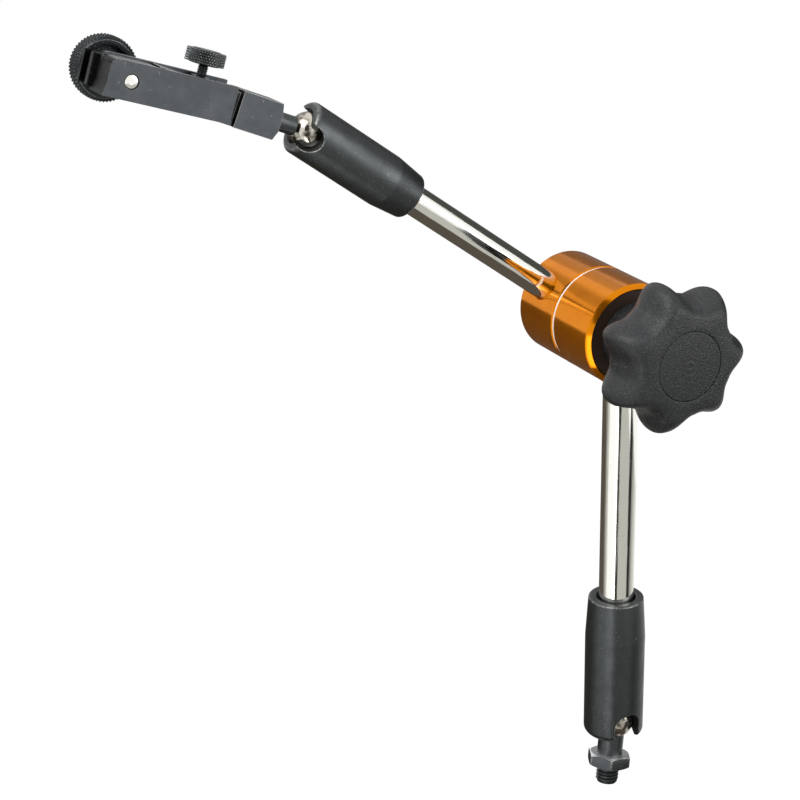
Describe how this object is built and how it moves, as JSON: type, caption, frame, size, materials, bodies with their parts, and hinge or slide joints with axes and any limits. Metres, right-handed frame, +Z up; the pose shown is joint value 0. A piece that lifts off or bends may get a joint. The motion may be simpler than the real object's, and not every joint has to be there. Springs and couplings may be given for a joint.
{
  "type": "gauge holding arm",
  "caption": "Articulated holding arm on a threaded stud, with ball joints, a central elbow locked by a star knob, and a fine-adjusting clamp head.",
  "frame": {"origin": "on the mounting stud's axis, at the jam nut's seat face", "axes": "+Z up along the mounting stud; the mating base lies on the -Z side"},
  "size_m": [0.2173, 0.1089, 0.2508],
  "materials": {
    "black_oxide_steel": "black oxide, satin",
    "ground_steel_tube": "ground and chrome plated",
    "polished_ball": "polished",
    "plain_steel": "turned",
    "orange_anodised": "orange anodised, brushed",
    "brown_fibre": "vulcanised fibre, dark brown",
    "white_washer": "white, moulded",
    "black_knob_plastic": "black, finely grained",
    "brass_insert": "turned"
  },
  "bodies": {
    "base": {"base_stud": "black_oxide_steel"},
    "nut": {"jam_nut": "black_oxide_steel"},
    "lower_ball": {"lower_ball": "polished_ball"},
    "lower_seat": {"lower_seat_cup": "plain_steel"},
    "lower_arm": {"lower_socket": "black_oxide_steel", "lower_tube": "ground_steel_tube", "near_housing": "orange_anodised", "friction_washer": "white_washer"},
    "lower_rod": {"lower_push_rod": "plain_steel"},
    "wedge_sleeve": {"cone_sleeve": "plain_steel", "thrust_washer": "brown_fibre"},
    "star_knob": {"star_knob": "black_knob_plastic", "knob_insert": "brass_insert", "knob_cap": "black_knob_plastic"},
    "upper_arm": {"far_housing": "orange_anodised", "end_plug": "black_knob_plastic", "upper_tube": "ground_steel_tube", "upper_socket": "black_oxide_steel"},
    "draw_bolt": {"draw_bolt": "plain_steel"},
    "upper_rod": {"upper_push_rod": "plain_steel"},
    "upper_seat": {"upper_seat_cup": "plain_steel"},
    "upper_ball": {"upper_ball": "polished_ball"},
    "head": {"upper_stud": "black_oxide_steel", "fine_block": "black_oxide_steel"},
    "head_bar": {"head_bar": "black_oxide_steel", "pivot_pin": "black_oxide_steel", "return_spring": "plain_steel", "clamp_bolt": "plain_steel"},
    "fine_screw": {"fine_screw": "black_oxide_steel"},
    "stem_clamp": {"stem_clamp": "black_oxide_steel"},
    "clamp_washer": {"clamp_washer": "plain_steel"},
    "clamp_knob": {"clamp_knob": "black_oxide_steel"}
  },
  "joints": [
    {"name": "nut_turn", "type": "hinge", "parent": "base", "child": "nut", "pos_m": [0, 0, 0], "axis": [0, 0, 1], "continuous": true},
    {"name": "lower_swivel", "type": "hinge", "parent": "base", "child": "lower_ball", "pos_m": [0, 0, 0.0175], "axis": [0, 0, 1], "continuous": true},
    {"name": "lower_tilt", "type": "hinge", "parent": "lower_ball", "child": "lower_seat", "pos_m": [0, 0, 0.0175], "axis": [0.866, -0.5, 0], "range_deg": [-36.4, 13.6]},
    {"name": "lower_roll", "type": "hinge", "parent": "lower_seat", "child": "lower_arm", "pos_m": [0, 0, 0.0175], "axis": [-0.0988, -0.1712, 0.9803], "continuous": true},
    {"name": "lock_turn", "type": "hinge", "parent": "wedge_sleeve", "child": "star_knob", "pos_m": [-0.02141, -0.01137, 0.1623], "axis": [0.4532, -0.8847, -0.1088], "range_deg": [0, 361]},
    {"name": "sleeve_slide", "type": "slide", "parent": "lower_arm", "child": "wedge_sleeve", "axis": [0.4532, -0.8847, -0.1088], "range_m": [0, 0.000625]},
    {"name": "lower_rod_slide", "type": "slide", "parent": "lower_arm", "child": "lower_rod", "axis": [-0.0988, -0.1712, 0.9803], "range_m": [0, 0.0004]},
    {"name": "elbow_turn", "type": "hinge", "parent": "lower_arm", "child": "upper_arm", "pos_m": [-0.02141, -0.01137, 0.1623], "axis": [0.4532, -0.8847, -0.1088], "continuous": true},
    {"name": "bolt_slide", "type": "slide", "parent": "upper_arm", "child": "draw_bolt", "axis": [-0.4532, 0.8847, 0.1088], "range_m": [0, 0.0007]},
    {"name": "upper_rod_slide", "type": "slide", "parent": "upper_arm", "child": "upper_rod", "axis": [0.7694, 0.4499, -0.4535], "range_m": [0, 0.0004]},
    {"name": "upper_roll", "type": "hinge", "parent": "upper_arm", "child": "upper_seat", "pos_m": [-0.12162, -0.05697, 0.21958], "axis": [-0.7694, -0.4499, 0.4535], "continuous": true},
    {"name": "upper_tilt", "type": "hinge", "parent": "upper_seat", "child": "upper_ball", "pos_m": [-0.12162, -0.05697, 0.21958], "axis": [0.3772, -0.8929, -0.2458], "range_deg": [-43.6, 16.4]},
    {"name": "upper_swivel", "type": "hinge", "parent": "upper_ball", "child": "head", "pos_m": [-0.12162, -0.05697, 0.21958], "axis": [-0.869, -0.433, 0.2394], "continuous": true},
    {"name": "fine_tilt", "type": "hinge", "parent": "head", "child": "head_bar", "pos_m": [-0.15091, -0.07156, 0.22765], "axis": [0.4257, -0.9009, -0.0841], "range_deg": [-5.75, 0], "deforming": ["return_spring"]},
    {"name": "fine_screw_turn", "type": "hinge", "parent": "head_bar", "child": "fine_screw", "pos_m": [-0.15508, -0.0736, 0.2284], "axis": [-0.18, 0.0067, -0.9836], "range_deg": [0, 340]},
    {"name": "stem_swivel", "type": "hinge", "parent": "head_bar", "child": "stem_clamp", "pos_m": [-0.17521, -0.08345, 0.23201], "axis": [0.4257, -0.9009, -0.0841], "continuous": true},
    {"name": "washer_slide", "type": "slide", "parent": "head_bar", "child": "clamp_washer", "axis": [-0.4257, 0.9009, 0.0841], "range_m": [0, 0.0016]},
    {"name": "clamp_turn", "type": "hinge", "parent": "clamp_washer", "child": "clamp_knob", "pos_m": [-0.17521, -0.08345, 0.23201], "axis": [-0.4257, 0.9009, 0.0841], "range_deg": [0, 721]}
  ],
  "couplings": [
    {"joint": "lock_turn", "follows": "sleeve_slide", "rad_per_m": 10053},
    {"joint": "bolt_slide", "follows": "sleeve_slide", "ratio": 1},
    {"joint": "lower_rod_slide", "follows": "sleeve_slide", "ratio": 0.57735},
    {"joint": "upper_rod_slide", "follows": "sleeve_slide", "ratio": 0.57735},
    {"joint": "fine_screw_turn", "follows": "fine_tilt", "ratio": -59.062},
    {"joint": "clamp_turn", "follows": "washer_slide", "rad_per_m": 7854}
  ]
}
